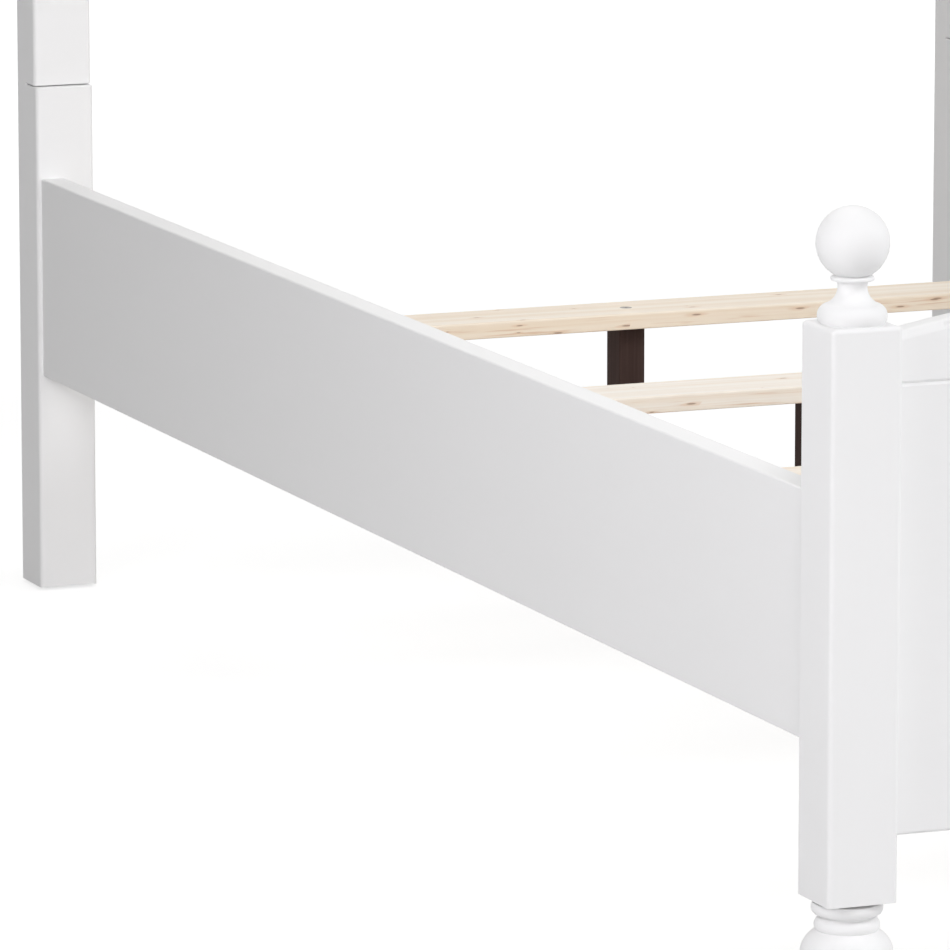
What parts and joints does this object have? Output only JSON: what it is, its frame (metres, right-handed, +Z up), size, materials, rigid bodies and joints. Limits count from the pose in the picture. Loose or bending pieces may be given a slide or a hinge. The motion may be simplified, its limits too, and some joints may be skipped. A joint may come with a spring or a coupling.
{
  "type": "bed frame",
  "caption": "Low-post bed frame with arched headboard and footboard, ball finials, turned front feet, hook-on side rails and slats on supporting legs with screw levellers.",
  "frame": {"origin": "on the floor, under the middle of the box round the bed", "axes": "+X across the bed to its right side as seen from the foot end, +Y from the foot end to the head end, +Z up"},
  "size_m": [1.1164, 2.0372, 1.2122],
  "materials": {
    "white_painted_wood": "satin white paint on solid wood",
    "pine": "planed bare pine",
    "dark_stained_wood": "dark brown stain, satin",
    "beech": "bare fluted dowel stock",
    "zinc_plated_steel": "zinc plated",
    "nylon": "matt nylon"
  },
  "bodies": {
    "bed_frame": {"cleat_screws": "zinc_plated_steel", "finial_studs": "zinc_plated_steel", "floor_glides": "nylon", "foot_finial_left": "white_painted_wood", "foot_finial_right": "white_painted_wood", "foot_post_left": "white_painted_wood", "foot_post_right": "white_painted_wood", "foot_studs": "zinc_plated_steel", "footboard_crest": "white_painted_wood", "footboard_dowels": "beech", "footboard_panel": "white_painted_wood", "glide_inserts": "zinc_plated_steel", "head_finial_left": "white_painted_wood", "head_finial_right": "white_painted_wood", "head_leg_left": "white_painted_wood", "head_leg_right": "white_painted_wood", "head_post_left": "white_painted_wood", "head_post_right": "white_painted_wood", "headboard_crest": "white_painted_wood", "headboard_dowels": "beech", "headboard_panel": "white_painted_wood", "hook_plate_screws": "zinc_plated_steel", "lap_bolts": "zinc_plated_steel", "lap_inserts": "zinc_plated_steel", "leg_top_inserts": "zinc_plated_steel", "post_slot_plate_left_foot": "zinc_plated_steel", "post_slot_plate_left_head": "zinc_plated_steel", "post_slot_plate_right_foot": "zinc_plated_steel", "post_slot_plate_right_head": "zinc_plated_steel", "rail_hook_left_foot": "zinc_plated_steel", "rail_hook_left_head": "zinc_plated_steel", "rail_hook_right_foot": "zinc_plated_steel", "rail_hook_right_head": "zinc_plated_steel", "side_rail_left": "white_painted_wood", "side_rail_right": "white_painted_wood", "slat_1": "pine", "slat_2": "pine", "slat_3": "pine", "slat_4": "pine", "slat_cleat_left": "pine", "slat_cleat_right": "pine", "slat_screws": "zinc_plated_steel", "slot_plate_screws": "zinc_plated_steel", "support_leg_1": "dark_stained_wood", "support_leg_2": "dark_stained_wood", "support_leg_3": "dark_stained_wood", "support_leg_4": "dark_stained_wood", "support_leg_bolts": "zinc_plated_steel", "turned_foot_left": "white_painted_wood", "turned_foot_right": "white_painted_wood"},
    "glide_pad_1": {"glide_pad_1": "nylon"},
    "glide_stem_1": {"glide_stem_1": "zinc_plated_steel"},
    "glide_pad_2": {"glide_pad_2": "nylon"},
    "glide_stem_2": {"glide_stem_2": "zinc_plated_steel"},
    "glide_pad_3": {"glide_pad_3": "nylon"},
    "glide_stem_3": {"glide_stem_3": "zinc_plated_steel"},
    "glide_pad_4": {"glide_pad_4": "nylon"},
    "glide_stem_4": {"glide_stem_4": "zinc_plated_steel"}
  },
  "joints": [
    {"name": "glide_1_travel", "type": "slide", "parent": "bed_frame", "child": "glide_pad_1", "axis": [0, 0, 1], "range_m": [-0.01, 0.01]},
    {"name": "glide_1_turn", "type": "hinge", "parent": "glide_pad_1", "child": "glide_stem_1", "pos_m": [0, -0.70385, 0], "axis": [0, 0, 1], "range_deg": [-2880, 2880]},
    {"name": "glide_2_travel", "type": "slide", "parent": "bed_frame", "child": "glide_pad_2", "axis": [0, 0, 1], "range_m": [-0.01, 0.01]},
    {"name": "glide_2_turn", "type": "hinge", "parent": "glide_pad_2", "child": "glide_stem_2", "pos_m": [0, -0.23285, 0], "axis": [0, 0, 1], "range_deg": [-2880, 2880]},
    {"name": "glide_3_travel", "type": "slide", "parent": "bed_frame", "child": "glide_pad_3", "axis": [0, 0, 1], "range_m": [-0.01, 0.01]},
    {"name": "glide_3_turn", "type": "hinge", "parent": "glide_pad_3", "child": "glide_stem_3", "pos_m": [0, 0.23815, 0], "axis": [0, 0, 1], "range_deg": [-2880, 2880]},
    {"name": "glide_4_travel", "type": "slide", "parent": "bed_frame", "child": "glide_pad_4", "axis": [0, 0, 1], "range_m": [-0.01, 0.01]},
    {"name": "glide_4_turn", "type": "hinge", "parent": "glide_pad_4", "child": "glide_stem_4", "pos_m": [0, 0.70915, 0], "axis": [0, 0, 1], "range_deg": [-2880, 2880]}
  ],
  "couplings": [
    {"joint": "glide_1_travel", "follows": "glide_1_turn", "m_per_rad": 0.00019894},
    {"joint": "glide_2_travel", "follows": "glide_2_turn", "m_per_rad": 0.00019894},
    {"joint": "glide_3_travel", "follows": "glide_3_turn", "m_per_rad": 0.00019894},
    {"joint": "glide_4_travel", "follows": "glide_4_turn", "m_per_rad": 0.00019894}
  ]
}
